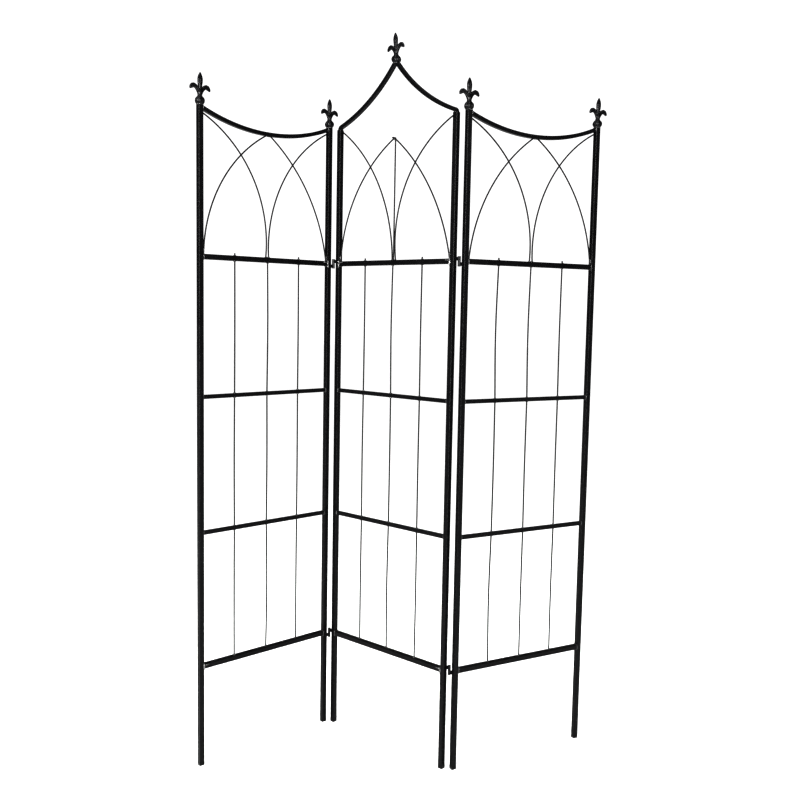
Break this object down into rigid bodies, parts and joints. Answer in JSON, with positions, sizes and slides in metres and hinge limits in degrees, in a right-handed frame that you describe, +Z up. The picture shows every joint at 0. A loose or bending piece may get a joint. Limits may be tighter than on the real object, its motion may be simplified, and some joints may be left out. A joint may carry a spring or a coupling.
{
  "type": "folding trellis",
  "caption": "Folding garden trellis screen: hinged black steel panels with gothic wire arches, curved tops and fleur-de-lis finials.",
  "frame": {"origin": "on the floor under the middle of the bounding box in the pictured stance", "axes": "+Z up, +X to the viewer's right, +Y to the back, away from the viewer"},
  "size_m": [1.1634, 0.349, 2.088],
  "materials": {
    "frame_paint": "semi-gloss black paint on square tube and bar",
    "wire_paint": "semi-gloss black paint on round wire",
    "cast_paint": "semi-gloss black paint on castings",
    "hinge_paint": "semi-gloss black paint on hinge knuckles",
    "pin_steel": "worn black paint on steel pins",
    "foot_plastic": "matte black moulded plastic"
  },
  "bodies": {
    "centre_panel": {"centre_panel_left_post": "frame_paint", "centre_panel_right_post": "frame_paint", "centre_panel_foot_caps": "foot_plastic", "centre_panel_bottom_rail": "frame_paint", "centre_panel_lower_rail": "frame_paint", "centre_panel_upper_rail": "frame_paint", "centre_panel_arch_rail": "frame_paint", "centre_panel_left_wire": "wire_paint", "centre_panel_middle_wire": "wire_paint", "centre_panel_right_wire": "wire_paint", "centre_panel_left_ogee_bar": "frame_paint", "centre_panel_right_ogee_bar": "frame_paint", "centre_panel_left_lancet_wire": "wire_paint", "centre_panel_right_lancet_wire": "wire_paint", "centre_panel_left_drop_wire": "wire_paint", "centre_panel_right_drop_wire": "wire_paint", "centre_panel_apex_wire": "wire_paint", "centre_panel_peak_finial": "cast_paint", "centre_panel_left_hinge_upper_knuckles": "hinge_paint", "centre_panel_right_hinge_upper_knuckles": "hinge_paint", "centre_panel_left_hinge_pins": "pin_steel", "centre_panel_right_hinge_pins": "pin_steel"},
    "left_panel": {"left_panel_left_post": "frame_paint", "left_panel_right_post": "frame_paint", "left_panel_foot_caps": "foot_plastic", "left_panel_bottom_rail": "frame_paint", "left_panel_lower_rail": "frame_paint", "left_panel_upper_rail": "frame_paint", "left_panel_arch_rail": "frame_paint", "left_panel_left_wire": "wire_paint", "left_panel_middle_wire": "wire_paint", "left_panel_right_wire": "wire_paint", "left_panel_top_bar": "frame_paint", "left_panel_left_lancet_wire": "wire_paint", "left_panel_right_lancet_wire": "wire_paint", "left_panel_left_drop_wire": "wire_paint", "left_panel_right_drop_wire": "wire_paint", "left_panel_left_finial": "cast_paint", "left_panel_right_finial": "cast_paint", "left_panel_hinge_lower_knuckles": "hinge_paint"},
    "right_panel": {"right_panel_left_post": "frame_paint", "right_panel_right_post": "frame_paint", "right_panel_foot_caps": "foot_plastic", "right_panel_bottom_rail": "frame_paint", "right_panel_lower_rail": "frame_paint", "right_panel_upper_rail": "frame_paint", "right_panel_arch_rail": "frame_paint", "right_panel_left_wire": "wire_paint", "right_panel_middle_wire": "wire_paint", "right_panel_right_wire": "wire_paint", "right_panel_top_bar": "frame_paint", "right_panel_left_lancet_wire": "wire_paint", "right_panel_right_lancet_wire": "wire_paint", "right_panel_left_drop_wire": "wire_paint", "right_panel_right_drop_wire": "wire_paint", "right_panel_left_finial": "cast_paint", "right_panel_right_finial": "cast_paint", "right_panel_hinge_lower_knuckles": "hinge_paint"}
  },
  "joints": [
    {"name": "left_fold", "type": "hinge", "parent": "centre_panel", "child": "left_panel", "pos_m": [-0.21546, 0.1511, 0], "axis": [0, 0, 1], "range_deg": [-85, 95]},
    {"name": "right_fold", "type": "hinge", "parent": "centre_panel", "child": "right_panel", "pos_m": [0.14828, -0.14479, 0], "axis": [0, 0, 1], "range_deg": [-71, 109]}
  ]
}
